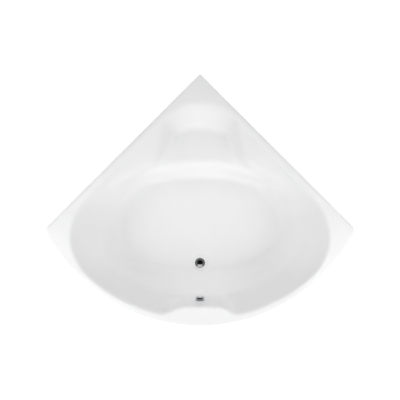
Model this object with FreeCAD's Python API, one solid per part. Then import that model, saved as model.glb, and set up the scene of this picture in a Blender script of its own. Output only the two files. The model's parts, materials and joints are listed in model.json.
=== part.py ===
"""Corner bathtub: moulded acrylic shell with a corner seat, on a levelled steel frame with its own waste set.

Millimetres. The origin is on the floor, at the middle of the footprint. +X runs from end to end along the
front, +Y points into the room corner and +Z is up. The two wall edges run at 45 degrees from the corner.
"""
import FreeCAD, Part
import math
import os
from FreeCAD import Placement, Rotation, Vector

ROOT2 = math.sqrt(2.0)
UP = Vector(0, 0, 1)
ALONG_X = Vector(1, 0, 0)
ALONG_Y = Vector(0, 1, 0)

# ---- Tub, outside -------------------------------------------------------------------------------
overall_depth = 1728.0          # room corner to the middle of the curved front
wall_side = 1516.0              # along one wall, to where the wall edge and the front curve would cross
rim_height = 600.0
rim_apex_radius = 12.0          # plan radius of the room corner
rim_end_radius = 38.0           # plan radius of the two side corners
rim_edge_radius = 9.0           # rounding along the top of the outer edge
lip_height = 42.0
shell_wall = 5.0

# ---- Tub, basin ---------------------------------------------------------------------------------
floor_height = 160.0            # ground to the top of the basin's floor
rim_back_width = 48.0           # deck along the walls
rim_front_width = 46.0          # deck along the front
opening_apex_radius = 333.0
opening_end_radius = 380.0
rim_roll = 12.0                 # the basin's top edge rolls over into the deck
platform_depth = 84.0           # how far the overflow platform stands into the opening
platform_half_width = 103.0
platform_reach = 290.0          # half the width over its curved flanks
crease_depth = 280.0            # the front wall is steep down to here, then a gentler pad
crease_from_front = 202.0       # front edge to the crease, on the middle line
crease_front_radius = 1010.0
floor_wall_offset = 245.0       # wall line to the foot of the wall slopes
foot_from_front = 377.0         # front edge to the foot of the pad
floor_front_radius = 1500.0
floor_end_radius = 300.0
floor_fillet = 60.0             # plan width of the soft foot, each side of the foot line
front_floor_fillet = 8.0        # the same before the pad, where the foot is crisp

# ---- Tub, seat and armrests ---------------------------------------------------------------------
seat_depth = 250.0
seat_from_corner = 613.0        # room corner to the seat's front edge
seat_front_radius = 1039.0
riser_run = 75.0                # plan run of the seat's front
riser_radius = 1257.0
seat_flare_from_corner = 454.0  # here the seat is seat_half_width wide each way
seat_half_width = 193.0
seat_flare = 0.425
flank_run = 130.0               # plan run of the seat's steep sides, from the seat to the deck's height
armrest_shoulder_offset = 205.0
armrest_shoulder_depth = 150.0
armrest_start = 680.0           # along the wall from the room corner: full shape up to here
armrest_end = 1020.0            # here the armrest has run out into the wall slope
armrest_sink = 20.0             # how far its foot reaches below the floor
armrest_tuck = 5.0              # how far its run-out end lies inside the wall slope

# ---- Waste --------------------------------------------------------------------------------------
waste_from_foot = 46.0          # foot of the front pad to the waste's axis
dish_radius = 60.0
dish_depth = 3.0
pad_thickness = 8.0             # shell thickness where the waste and overflow clamp on
waste_hole_radius = 26.0
flange_radius = 35.0
flange_thickness = 3.0
neck_radius = 24.5
neck_bore_radius = 21.0
neck_length = 30.0
flange_chamfer = 1.2
guide_height = 8.0              # hub in the neck that the plug's stem slides in
guide_wall = 3.0
guide_arm_width = 3.0
seal_thickness = 1.5
body_seal_thickness = 3.0
body_flange_radius = 40.0
body_flange_thickness = 5.0
body_radius = 33.0
body_wall = 3.0
body_height = 52.0
barrel_height = 46.0
chamber_drop = 21.0             # body flange to the chamber's roof
ear_thickness = 3.0             # ears that hold the lever's pin
ear_half_height = 4.0
spigot_radius = 17.0
spigot_wall = 3.0
inlet_reach = 62.0              # waste axis to the end of the overflow inlet
inlet_drop = 34.0               # body flange to the inlet's axis
plug_radius = 31.0
plug_rise = 8.0                 # skirt and dome
plug_skirt = 2.0
plug_seal_thickness = 2.0
stem_radius = 4.0
stem_drop = 34.0                # body flange to the stem's end
lever_reach = 18.0
lever_width = 5.0
lever_thickness = 3.0
lever_hub_radius = 4.0
lever_nose = 3.0                # how far the lever reaches past the stem's axis
pin_radius = 1.5
pin_bore_reach = 10.0           # drilling each way from the pin's middle
running_gap = 0.05              # radial, at pins and shafts
seat_gap = 0.3                  # between pieces that only rest near each other

# ---- Overflow -----------------------------------------------------------------------------------
overflow_drop = 155.0           # deck to the overflow's centre
overflow_hole_radius = 26.0
plate_radius = 35.0
plate_thickness = 5.0
plate_sink = 0.5                # recess in the wall that seats the plate
plate_slot_radius = 4.5
plate_slot_circle = 14.5
screw_head_height = 2.5
screw_head_ratio = 1.8          # head radius to screw radius
knob_radius = 33.0
knob_thickness = 15.0
knob_gap = 1.5
knob_edge_radius = 3.0
knob_base = 4.0                 # full disc left under the scooped grips
scoop_offset = 9.0
shaft_radius = 6.0
shaft_length = 34.0
knob_grip_radius = 26.0
cup_radius = 30.0
cup_wall = 3.0
cup_depth = 34.0
screw_radius = 2.5
screw_spacing = 40.0
pillar_wall = 2.0
pillar_bore_start = 8.0
overflow_bend_radius = 90.0
nut_radius = 23.0
nut_length = 24.0
cable_radius = 2.5
cable_side = 25.0               # pipe axis to the cable glands' axis
gland_radius = 5.0
gland_length = 22.0

# ---- Trap and outlet ----------------------------------------------------------------------------
pipe_radius = 20.0
pipe_wall = 2.5
cup_trap_radius = 36.0
trap_wall = 3.0
trap_drop = 24.0                # waste body to the trap's lid
trap_height = 64.0
trap_dip_gap = 10.0
outlet_rise = 38.0              # trap's underside to the outlet's axis
outlet_turn = 15.0              # degrees the outlet turns from the room corner, clear of the corner foot
outlet_branch = 28.0
outlet_length = 200.0
outlet_seat = 60.0              # free end that the waste pipe's socket slides over
outlet_bead_radius = 21.5
outlet_bead = 3.0
trap_nut_radius = 27.0
trap_nut_length = 14.0
spigot_length = 8.0

# ---- Frame, board, battens and feet -------------------------------------------------------------
board_thickness = 15.0
board_from_foot = 115.0         # foot of the pad to the board's front edge
board_screw_spacing = 280.0
board_screw_y = 100.0
board_margin = 10.0
tube = 25.0
tube_wall = 2.0
rail_from_ends = 47.0           # side corners to the long rail, along Y
upright_from_end = 100.0        # side corners to the uprights, along X
corner_upright_from_corner = 99.0
arm_x = 330.0
arm_end_from_front = 99.0
arm_foot_from_front = 224.0
upright_foot_z = 70.0
top_plate = 70.0
top_plate_thickness = 4.0
block_thickness = 15.0
block_side = 72.0
batten_width = 26.0
batten_height = 15.0
batten_offset = 8.0
wall_batten_start = 130.0
wall_batten_end_gap = 186.0     # wall batten to the wall edge's end
front_batten_offset = 14.0
front_batten_width = 20.0
front_batten_angle = 38.0
stud_radius = 6.0
stud_clearance = 0.1
stud_past_nut = 8.0
stud_in_upright = 40.0
foot_plate_thickness = 4.0
foot_radius = 25.0
foot_height = 12.0
foot_rim = 4.0
foot_grip_across = 24.0
nut_height = 8.0
nut_across = 19.0
board_screw_radius = 2.5
board_screw_head = 4.5
board_screw_head_height = 2.0
board_screw_bite = 10.0         # how far the wood screws reach into the wood
block_screw_share = 0.35        # of the top plate, from its middle to each screw

# ---- Front panel and wall clips -----------------------------------------------------------------
panel_offset = 6.0
panel_wall = 4.0
panel_bottom = 10.0
panel_return = 16.0
panel_end_offset = 30.0
bracket_height = 90.0
bracket_width = 40.0
bracket_thickness = 3.0
bracket_leg = 45.0
bracket_gap = 1.5               # flat bracket to the curved panel, at the middle
bracket_screw_inset = 20.0
panel_screw_head_ratio = 2.4
panel_screw_head_height = 2.0
clip_width = 40.0
clip_thickness = 3.0
clip_height = 50.0
clip_from_corner = 420.0
clip_from_end = 386.0
clip_hole_radius = 2.75
clip_hole_spacing = 24.0
clip_hole_rise = 15.0
clip_hook = 18.0                # how far the clip reaches up behind the lip

# ---- Values that follow --------------------------------------------------------------------------
apex_y = overall_depth / 2 + rim_apex_radius * (ROOT2 - 1)
end_x = wall_side / ROOT2
front_sagitta = apex_y - end_x + overall_depth / 2
front_radius = (end_x ** 2 + front_sagitta ** 2) / (2 * front_sagitta)
front_y = -overall_depth / 2
basin_depth = rim_height - floor_height
crease_front_y = front_y + crease_from_front
floor_front_y = front_y + foot_from_front
seat_front_y = overall_depth / 2 - seat_from_corner
seat_flare_y = overall_depth / 2 - seat_flare_from_corner
waste_y = floor_front_y + waste_from_foot
board_front_y = floor_front_y + board_from_foot
long_rail_y = apex_y - end_x - rail_from_ends
upright_x = end_x - upright_from_end
corner_upright_y = apex_y - corner_upright_from_corner
arm_end_y = front_y + arm_end_from_front
arm_foot_y = front_y + arm_foot_from_front
floor_z = floor_height
floor_under_z = floor_z - shell_wall
dish_z = floor_z - dish_depth
waste_pad_z = dish_z - pad_thickness
body_top_z = waste_pad_z - body_seal_thickness
inlet_z = body_top_z - inlet_drop
body_bottom_z = body_top_z - body_height
board_bottom_z = floor_under_z - board_thickness
rail_bottom_z = board_bottom_z - tube
deck_under_z = rim_height - shell_wall
block_bottom_z = deck_under_z - block_thickness
trap_top_z = body_bottom_z - trap_drop
trap_bottom_z = trap_top_z - trap_height
outlet_z = trap_bottom_z + outlet_rise
wall_batten_end = wall_side - wall_batten_end_gap
clip_along = (clip_from_corner, wall_side - clip_from_end)


def polar(angle, radius=1.0):
    """Plan vector at an angle in degrees from +X."""
    return Vector(radius * math.cos(math.radians(angle)), radius * math.sin(math.radians(angle)), 0)


def mirrored(point):
    """The same point on the other side of the tub's middle plane."""
    return Vector(-point.x, point.y, point.z)


class Outline:
    """Corner-shaped outline: two wall lines at 45 degrees, rounded corners and a curved front.

    The front may carry a platform that stands back into the outline between two curved flanks.
    """

    sizes = ("wall_offset", "front_y", "front_radius", "end_radius", "apex_radius", "platform")

    def __init__(self, wall_offset, front_y, front_radius, end_radius, apex_radius, platform):
        self.wall_offset = wall_offset
        self.front_y = front_y
        self.front_radius = front_radius
        self.end_radius = end_radius
        self.apex_radius = apex_radius
        self.platform = platform

    def grown(self, by):
        """The outline moved outwards all round."""
        return Outline(self.wall_offset - by, self.front_y - by, self.front_radius + by,
                       self.end_radius + by, self.apex_radius + by, self.platform)

    def mixed(self, other, share):
        """An outline between this one and another."""
        return Outline(*[getattr(self, size) * (1 - share) + getattr(other, size) * share
                         for size in self.sizes])

    def half_edges(self, z):
        """Edges of the left half at height z, from the room corner to the middle of the front."""
        lift = UP * z
        top = apex_y - self.wall_offset * ROOT2
        front_centre = Vector(0, self.front_y + self.front_radius, 0)
        line = top - ROOT2 * self.end_radius - front_centre.y
        reach = (line + math.sqrt(2 * (self.front_radius - self.end_radius) ** 2 - line ** 2)) / 2
        end_centre = Vector(-reach, top - ROOT2 * self.end_radius - reach, 0)
        apex_centre = Vector(0, top - ROOT2 * self.apex_radius, 0)
        to_wall = polar(135)
        to_front = (end_centre - front_centre).normalize()
        to_end = (to_wall + to_front).normalize()
        apex = apex_centre + polar(90, self.apex_radius) + lift
        apex_end = apex_centre + to_wall * self.apex_radius + lift
        wall_end = end_centre + to_wall * self.end_radius + lift
        end_middle = end_centre + to_end * self.end_radius + lift
        front_start = end_centre + to_front * self.end_radius + lift
        start_angle = math.degrees(math.atan2(to_front.y, to_front.x))
        ends = [
            Part.Arc(apex, apex_centre + polar(112.5, self.apex_radius) + lift, apex_end).toShape(),
            Part.makeLine(apex_end, wall_end),
            Part.Arc(wall_end, end_middle, front_start).toShape(),
        ]
        if self.platform is None:
            front = front_centre + polar(270, self.front_radius) + lift
            front_middle = front_centre + polar((start_angle - 90) / 2, self.front_radius) + lift
            return ends + [Part.Arc(front_start, front_middle, front).toShape()]
        flank_angle = -90 - math.degrees(math.asin(platform_reach / self.front_radius))
        front_middle = front_centre + polar((start_angle + flank_angle) / 2, self.front_radius) + lift
        flank_start = front_centre + polar(flank_angle, self.front_radius) + lift
        flank_end = Vector(-platform_half_width, self.front_y + self.platform, z)
        pull = 0.45 * (flank_end.x - flank_start.x)
        flank = Part.BezierCurve()
        flank.setPoles([flank_start, flank_start + polar(flank_angle + 90, pull),
                        flank_end - ALONG_X * pull, flank_end])
        return ends + [
            Part.Arc(front_start, front_middle, flank_start).toShape(),
            flank.toShape(),
            Part.makeLine(flank_end, Vector(0, flank_end.y, z)),
        ]

    def wire(self, z):
        """The whole outline at height z, closed on the middle plane."""
        left = self.half_edges(z)
        right = [edge.mirror(Vector(0, 0, 0), ALONG_X) for edge in left]
        return Part.Wire(Part.__sortEdges__(left + right))

    def face(self, z):
        return Part.Face(self.wire(z))


rim_outline = Outline(0, front_y, front_radius, rim_end_radius, rim_apex_radius, None)
opening = Outline(rim_back_width, front_y + rim_front_width, front_radius - rim_front_width,
                  opening_end_radius, opening_apex_radius, platform_depth)
panel_outline = Outline(panel_offset, front_y + panel_offset, front_radius - panel_offset,
                        rim_end_radius - panel_offset, 2 * panel_return, None)
foot = Outline(floor_wall_offset, floor_front_y, floor_front_radius, floor_end_radius,
               opening_apex_radius, 0)
straight = opening.mixed(foot, crease_depth / basin_depth)
crease = Outline(straight.wall_offset, crease_front_y, crease_front_radius, straight.end_radius,
                 straight.apex_radius, 0)


def bowl(wall):
    """Solid that fills the basin before the seat, grown outwards and down by a wall."""
    if wall:
        sections = [(opening, wall, shell_wall / 2)]
    else:
        sections = [(opening, rim_roll, -1.0), (opening, 0.4 * rim_roll, 0.25 * rim_roll)]
    upper = opening.mixed(crease, rim_roll / crease_depth)
    sections.append((upper, wall, rim_roll + wall))
    sections.append((crease, wall, crease_depth + wall))
    fillet_start = crease.mixed(foot, 0.6)
    start_depth = crease_depth * 0.4 + basin_depth * 0.6
    floor_edge = Outline(foot.wall_offset + floor_fillet, foot.front_y + front_floor_fillet,
                         foot.front_radius - front_floor_fillet, foot.end_radius - floor_fillet,
                         foot.apex_radius - floor_fillet, foot.platform)
    foot_bands = 2 if wall else 3
    for band in range(foot_bands + 1):
        share = band / foot_bands
        before = fillet_start.mixed(foot, share)
        after = foot.mixed(floor_edge, share)
        depth = start_depth + (basin_depth - start_depth) * (1 - (1 - share) ** 2)
        sections.append((before.mixed(after, share), wall, depth + wall))
    wires = [outline.grown(grow).wire(rim_height - depth) for outline, grow, depth in sections]
    return Part.makeLoft(wires, True, True)


def rim_plate():
    """The flat deck with its turned-down lip."""
    bottom = rim_height - lip_height
    plate = rim_outline.face(bottom).extrude(UP * lip_height)
    top_edges = [edge for edge in plate.Edges if edge.BoundBox.ZMin > rim_height - 1]
    plate = plate.makeFillet(rim_edge_radius, top_edges)
    hollow = rim_outline.grown(-shell_wall).face(bottom - 1)
    return plate.cut(hollow.extrude(UP * (lip_height + 1 - shell_wall)))


def behind_arc(arc_front_y, radius, z):
    """Closed wire at height z behind a shallow arc that bows towards the back."""
    half = end_x / 2
    centre = Vector(0, arc_front_y - radius, z)
    edge_y = centre.y + math.sqrt(radius ** 2 - half ** 2)
    left = Vector(-half, edge_y, z)
    right = Vector(half, edge_y, z)
    far_left = Vector(-half, apex_y, z)
    far_right = Vector(half, apex_y, z)
    return Part.Wire([
        Part.Arc(left, centre + ALONG_Y * radius, right).toShape(),
        Part.makeLine(right, far_right),
        Part.makeLine(far_right, far_left),
        Part.makeLine(far_left, left),
    ])


def by_wall(along, offset, z):
    """Point beside the left wall: along it from the room corner, and off it."""
    return Vector((offset - along) / ROOT2, apex_y - (along + offset) / ROOT2, z)


def armrest(wall):
    """Left armrest: a bulge of the wall slope that runs out towards the front."""
    def section(along, shoulder_offset, foot_offset):
        corners = ((0, rim_roll), (rim_back_width, rim_roll),
                   (shoulder_offset, armrest_shoulder_depth), (foot_offset, basin_depth + armrest_sink),
                   (0, basin_depth + armrest_sink))
        points = [by_wall(along, offset - wall, rim_height - depth - wall) for offset, depth in corners]
        return Part.makePolygon(points + points[:1])

    slope = (floor_wall_offset - rim_back_width) / basin_depth
    sunk_shoulder = rim_back_width + slope * armrest_shoulder_depth - armrest_tuck
    sunk_foot = floor_wall_offset - floor_fillet
    return Part.makeLoft([
        section(0, armrest_shoulder_offset, floor_wall_offset),
        section(armrest_start, armrest_shoulder_offset, floor_wall_offset),
        section(armrest_end, sunk_shoulder, sunk_foot),
    ], True, True)


def seat_fill(wall):
    """What stands in the bowl: the seat block and the armrests each side of it."""
    seat_z = rim_height - seat_depth - wall
    block = Part.makeLoft([
        behind_arc(seat_front_y - riser_run + wall, riser_radius, floor_z - wall - 1),
        behind_arc(seat_front_y + wall, seat_front_radius, seat_z),
    ], True, True)
    left = armrest(wall)
    right = left.mirror(Vector(0, 0, 0), ALONG_X)

    def niche_outline(z, spread):
        front_y = seat_front_y - 2 * riser_run
        back_y = apex_y - rim_back_width
        front_half = seat_half_width + seat_flare * (seat_flare_y - front_y) + spread + wall
        back_half = max(seat_half_width + seat_flare * (seat_flare_y - back_y), 1.0) + spread + wall
        corners = ((-front_half, front_y), (front_half, front_y), (back_half, back_y), (-back_half, back_y))
        points = [Vector(x, y, z) for x, y in corners]
        return Part.makePolygon(points + points[:1])

    niche = Part.makeLoft([niche_outline(seat_z, 0), niche_outline(rim_height, flank_run)], True, True)
    rests = left.fuse(right).cut(niche)
    return block.fuse(rests)


def cavity(wall):
    return bowl(wall).cut(seat_fill(wall))


def box(low, high):
    """Box between two corners given as tuples."""
    size = [high[axis] - low[axis] for axis in range(3)]
    return Part.makeBox(size[0], size[1], size[2], Vector(*low))


def disc(base, radius, height, direction=UP):
    return Part.makeCylinder(radius, height, base, direction)


def ring(base, outer, inner, height, direction=UP):
    return disc(base, outer, height, direction).cut(disc(base, inner, height, direction))


def both_sides(shape):
    """The shape and its mirror image across the middle plane."""
    return [shape, shape.mirror(Vector(0, 0, 0), ALONG_X)]


# ---- Places on the steep wall that carries the overflow ------------------------------------------
opening_front_y = opening.front_y + platform_depth
wall_lean = math.atan2(crease_front_y - opening_front_y, crease_depth)
into_basin = Vector(0, math.cos(wall_lean), math.sin(wall_lean))
up_the_wall = Vector(0, -math.sin(wall_lean), math.cos(wall_lean))
overflow_place = Vector(0, opening_front_y + overflow_drop * math.tan(wall_lean), rim_height - overflow_drop)
waste_place = Vector(0, waste_y, 0)


def off_wall(distance, across=0.0, up=0.0):
    """Point near the overflow: a distance into the basin from the wall, across it and up it."""
    return overflow_place + into_basin * distance + ALONG_X * across + up_the_wall * up


cup_face = -pad_thickness - body_seal_thickness
cup_centre = off_wall(cup_face - body_flange_thickness - cup_depth / 2)
spigot_end_z = cup_centre.z - cup_radius - 26.0
inlet_end_y = waste_y - inlet_reach


def tub_shell():
    """Moulded shell: deck and lip, basin, and flat clamping pads at the waste and the overflow."""
    waste_pad = disc(waste_place + UP * waste_pad_z, body_flange_radius + 4, pad_thickness + dish_depth / 2)
    overflow_pad = disc(off_wall(-pad_thickness), body_flange_radius + 4, pad_thickness / 2, into_basin)
    shell = rim_plate().fuse([cavity(shell_wall), waste_pad, overflow_pad])
    shell = shell.cut(cavity(0))
    dish = Part.makeCone(body_flange_radius, dish_radius, dish_depth, waste_place + UP * dish_z)
    recess = disc(off_wall(-plate_sink), plate_radius + 1.5, 12, into_basin)
    waste_hole = disc(waste_place + UP * (waste_pad_z - 1), waste_hole_radius, pad_thickness + 2)
    overflow_hole = disc(off_wall(-pad_thickness - 1), overflow_hole_radius, pad_thickness + 2, into_basin)
    return shell.cut([dish, recess, waste_hole, overflow_hole])


# ---- Board, battens and blocks -------------------------------------------------------------------
def base_board():
    """Board under the flat of the floor, short of the waste."""
    inset = foot.grown(-floor_fillet - board_margin)
    board = inset.face(board_bottom_z).extrude(UP * board_thickness)
    back_y = seat_front_y - riser_run - board_margin
    return board.common(box((-end_x, board_front_y, 0), (end_x, back_y, rim_height)))


def wall_batten():
    corners = ((wall_batten_start, batten_offset), (wall_batten_end, batten_offset),
               (wall_batten_end, batten_offset + batten_width),
               (wall_batten_start + batten_width, batten_offset + batten_width))
    points = [by_wall(along, offset, deck_under_z - batten_height) for along, offset in corners]
    return Part.Face(Part.makePolygon(points + points[:1])).extrude(UP * batten_height)


def front_batten():
    """Curved batten under the front of the deck."""
    centre = Vector(0, front_y + front_radius, deck_under_z - batten_height)
    outer = front_radius - front_batten_offset
    sweep = 2 * front_batten_angle
    start = 270 - front_batten_angle
    wedge = Part.makeCylinder(outer, batten_height, centre, UP, sweep)
    wedge = wedge.cut(disc(centre, outer - front_batten_width, batten_height))
    wedge.rotate(centre, UP, start)
    return wedge


def deck_block(x, y):
    half = block_side / 2
    return box((x - half, y - half, block_bottom_z), (x + half, y + half, deck_under_z))


# ---- Steel frame -----------------------------------------------------------------------------------
def tube_along(start, length, direction):
    """Square tube, open at both ends, along X, Y or Z from the middle of its end."""
    half = tube / 2
    bore = half - tube_wall
    far = start + direction * length
    def bar(reach):
        side = Vector(1, 1, 1) - Vector(abs(direction.x), abs(direction.y), abs(direction.z))
        low = start - side * reach
        high = far + side * reach
        return box((low.x, low.y, low.z), (high.x, high.y, high.z))
    return bar(half).cut(bar(bore))


def stud_hole(x, y, z, height):
    return disc(Vector(x, y, z), stud_radius + stud_clearance, height)


def long_rail():
    reach = upright_x - tube / 2
    return tube_along(Vector(-reach, long_rail_y, rail_bottom_z + tube / 2), 2 * reach, ALONG_X)


def centre_rail():
    start_y = long_rail_y + tube / 2
    end_y = corner_upright_y - tube / 2
    return tube_along(Vector(0, start_y, rail_bottom_z + tube / 2), end_y - start_y, ALONG_Y)


def front_arm():
    """Arm from the long rail to the front, drilled for its foot."""
    length = long_rail_y - tube / 2 - arm_end_y
    arm = tube_along(Vector(-arm_x, arm_end_y, rail_bottom_z + tube / 2), length, ALONG_Y)
    return arm.cut(stud_hole(-arm_x, arm_foot_y, rail_bottom_z - 1, tube + 2))


def upright(x, y):
    """Upright with a top plate under the deck and a drilled plate for its foot."""
    height = block_bottom_z - top_plate_thickness - upright_foot_z
    post = tube_along(Vector(x, y, upright_foot_z), height, UP)
    half = top_plate / 2
    top = box((x - half, y - half, block_bottom_z - top_plate_thickness),
              (x + half, y + half, block_bottom_z))
    side = tube / 2
    bottom = box((x - side, y - side, upright_foot_z),
                 (x + side, y + side, upright_foot_z + foot_plate_thickness))
    return post.fuse([top, bottom]).cut(stud_hole(x, y, upright_foot_z - 1, foot_plate_thickness + 2))


def hexagon(base, height, across, bore_radius):
    """Upright hexagonal prism with a bore, such as a nut without its thread."""
    corner = across / math.sqrt(3)
    points = [base + polar(60 * step, corner) for step in range(7)]
    nut = Part.Face(Part.makePolygon(points)).extrude(UP * height)
    return nut.cut(disc(base, bore_radius, height))


feet = {
    "left": (-upright_x, long_rail_y),
    "right": (upright_x, long_rail_y),
    "corner": (0.0, corner_upright_y),
    "front_left": (-arm_x, arm_foot_y),
    "front_right": (arm_x, arm_foot_y),
}


def under_arm(name):
    return name.startswith("front")


def foot_pad(x, y):
    """Plastic foot: a round base, a hexagonal grip and a socket that holds the stud's end."""
    base = disc(Vector(x, y, 0), foot_radius, foot_rim)
    grip = hexagon(Vector(x, y, foot_rim), foot_height - foot_rim, foot_grip_across, stud_radius)
    return base.fuse(grip)


def foot_stud(name, x, y):
    above_arm_z = rail_bottom_z + tube + nut_height + stud_past_nut
    top_z = above_arm_z if under_arm(name) else upright_foot_z + stud_in_upright
    return disc(Vector(x, y, foot_rim), stud_radius, top_z - foot_rim)


def lock_nuts():
    bore = stud_radius + stud_clearance
    nuts = []
    for name, (x, y) in feet.items():
        heights = [upright_foot_z - nut_height]
        if under_arm(name):
            heights = [rail_bottom_z - nut_height, rail_bottom_z + tube]
        nuts += [hexagon(Vector(x, y, z), nut_height, nut_across, bore) for z in heights]
    return Part.makeCompound(nuts)


def wood_screw(head_place, direction, length):
    """Screw without its thread: a flat head outside and a plain shank along the direction."""
    head_start = head_place - direction * board_screw_head_height
    head = disc(head_start, board_screw_head, board_screw_head_height, direction)
    return head.fuse(disc(head_place, board_screw_radius, length, direction))


# ---- Waste set ---------------------------------------------------------------------------------------
def waste_flange():
    """Chromed flange: a dished rim, a threaded neck and a three-armed guide for the plug's stem."""
    rim_z = dish_z + seal_thickness
    rim = disc(waste_place + UP * rim_z, flange_radius, flange_thickness)
    rim = rim.makeChamfer(flange_chamfer, [edge for edge in rim.Edges if edge.BoundBox.ZMin > rim_z + 1])
    neck = disc(waste_place + UP * (rim_z - neck_length), neck_radius, neck_length + 1)
    flange = rim.fuse(neck).cut(disc(waste_place + UP * (rim_z - neck_length - 1), neck_bore_radius,
                                     neck_length + flange_thickness + 2))
    hub_z = rim_z - neck_length
    hub = disc(waste_place + UP * hub_z, stem_radius + guide_wall, guide_height)
    arms = []
    for step in range(3):
        arm = box((0, -guide_arm_width / 2, hub_z),
                  (neck_bore_radius + 1, guide_arm_width / 2, hub_z + guide_height / 2))
        arm.rotate(Vector(0, 0, 0), UP, 90 + 120 * step)
        arm.translate(waste_place)
        arms.append(arm)
    flange = flange.fuse([hub] + arms)
    return flange.cut(disc(waste_place + UP * (hub_z - 1), stem_radius + running_gap, guide_height + 2))


def waste_seal_upper():
    return ring(waste_place + UP * dish_z, flange_radius - 1, waste_hole_radius, seal_thickness)


def waste_seal_lower():
    return ring(waste_place + UP * body_top_z, body_flange_radius, waste_hole_radius, body_seal_thickness)


def waste_body():
    """Waste housing: clamping flange, chamber, overflow inlet, cable gland, lever ears and outlet."""
    below = lambda drop: waste_place + UP * (body_top_z - drop)
    top = disc(below(body_flange_thickness), body_flange_radius, body_flange_thickness)
    barrel = disc(below(barrel_height), body_radius, barrel_height)
    outlet_height = body_height + spigot_length - barrel_height + body_wall
    outlet = disc(below(body_height + spigot_length), pipe_radius, outlet_height)
    inlet = disc(Vector(0, inlet_end_y, inlet_z), spigot_radius, inlet_reach, ALONG_Y)
    gland_y = waste_y - body_radius - gland_length / 2
    gland = disc(Vector(cable_side, gland_y, inlet_z), gland_radius, gland_length, ALONG_Y)
    body = top.fuse([barrel, outlet, inlet, gland])
    chamber_depth = barrel_height - body_wall - chamber_drop
    chamber = disc(below(barrel_height - body_wall), body_radius - body_wall, chamber_depth)
    neck_bore = disc(below(chamber_drop), neck_radius + 0.2, chamber_drop)
    outlet_bore = disc(below(body_height + spigot_length), pipe_radius - pipe_wall, outlet_height + 1)
    inlet_bore = disc(Vector(0, inlet_end_y, inlet_z), spigot_radius - spigot_wall, inlet_reach, ALONG_Y)
    gland_bore = disc(Vector(cable_side, gland_y, inlet_z), cable_radius, gland_length + 12, ALONG_Y)
    body = body.cut([chamber, neck_bore, outlet_bore, inlet_bore, gland_bore])
    ears = []
    for side in (-1, 1):
        inner_x = side * (lever_width / 2 + seat_gap)
        outer_x = side * (lever_width / 2 + seat_gap + ear_thickness)
        low_x = min(inner_x, outer_x)
        ears.append(box((low_x, waste_y + lever_reach - ear_thickness, lever_z - ear_half_height),
                        (low_x + ear_thickness, waste_y + body_radius - 1, lever_z + ear_half_height)))
    body = body.fuse(ears)
    return body.cut(disc(lever_pivot - ALONG_X * pin_bore_reach, pin_radius, 2 * pin_bore_reach, ALONG_X))


stem_bottom_z = body_top_z - stem_drop
lever_z = stem_bottom_z - 2 * seat_gap - lever_thickness / 2
lever_pivot = Vector(0, waste_y + lever_reach, lever_z)


def lift_lever():
    """Rocking lever that pushes the plug's stem up."""
    half = lever_width / 2
    arm = box((-half, waste_y - lever_nose, lever_z - lever_thickness / 2),
              (half, waste_y + lever_reach, lever_z + lever_thickness / 2))
    hub = disc(lever_pivot - ALONG_X * half, lever_hub_radius, lever_width, ALONG_X)
    bore = disc(lever_pivot - ALONG_X * pin_bore_reach, pin_radius + running_gap, 2 * pin_bore_reach, ALONG_X)
    return arm.fuse(hub).cut(bore)


def lever_pin():
    reach = lever_width / 2 + seat_gap + ear_thickness
    return disc(lever_pivot - ALONG_X * reach, pin_radius, 2 * reach, ALONG_X)


def plug():
    """Domed plug on its stem."""
    skirt_z = dish_z + seal_thickness + flange_thickness + seat_gap + plug_seal_thickness
    dome_rise = plug_rise - plug_skirt
    dome_radius = (plug_radius ** 2 + dome_rise ** 2) / (2 * dome_rise)
    sphere = Part.makeSphere(dome_radius, waste_place + UP * (skirt_z + plug_rise - dome_radius))
    cap = disc(waste_place + UP * skirt_z, plug_radius, plug_rise + 1).common(sphere)
    return cap.fuse(disc(waste_place + UP * stem_bottom_z, stem_radius, skirt_z + 1 - stem_bottom_z))


def plug_seal():
    base_z = dish_z + seal_thickness + flange_thickness + seat_gap
    return ring(waste_place + UP * base_z, plug_radius - 3, neck_bore_radius - 1, plug_seal_thickness)


# ---- Overflow set -------------------------------------------------------------------------------------
def overflow_plate():
    """Fixed chromed plate with slots that let the water out."""
    plate = disc(off_wall(-plate_sink), plate_radius, plate_thickness, into_basin)
    slots = []
    for degrees in (50, 90, 130, 230, 270, 310):
        angle = math.radians(degrees)
        start = off_wall(-1, plate_slot_circle * math.cos(angle), plate_slot_circle * math.sin(angle))
        slots.append(disc(start, plate_slot_radius, plate_thickness + 2, into_basin))
    bore = disc(off_wall(-1), shaft_radius + running_gap, plate_thickness + 2, into_basin)
    screw_holes = [disc(off_wall(-1, side * screw_spacing / 2), screw_radius + 0.1, plate_thickness + 2,
                        into_basin) for side in (-1, 1)]
    return plate.cut(slots + [bore] + screw_holes)


def overflow_knob():
    """Chromed knob with two scooped grips, on a shaft that passes into the overflow body."""
    face = plate_thickness - plate_sink + screw_head_height + knob_gap
    head = disc(off_wall(face), knob_radius, knob_thickness, into_basin)
    rim = [edge for edge in head.Edges if (edge.CenterOfMass - off_wall(face)).Length > knob_thickness / 2]
    head = head.makeFillet(knob_edge_radius, rim)
    scoops = [disc(off_wall(face + knob_base, 0, side * (knob_grip_radius + scoop_offset)), knob_grip_radius,
                   knob_thickness, into_basin) for side in (-1, 1)]
    head = head.cut(scoops)
    return head.fuse(disc(off_wall(face - shaft_length), shaft_radius, shaft_length + 1, into_basin))


def overflow_seal():
    return ring(off_wall(cup_face), body_flange_radius, overflow_hole_radius, body_seal_thickness,
                into_basin)


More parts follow.
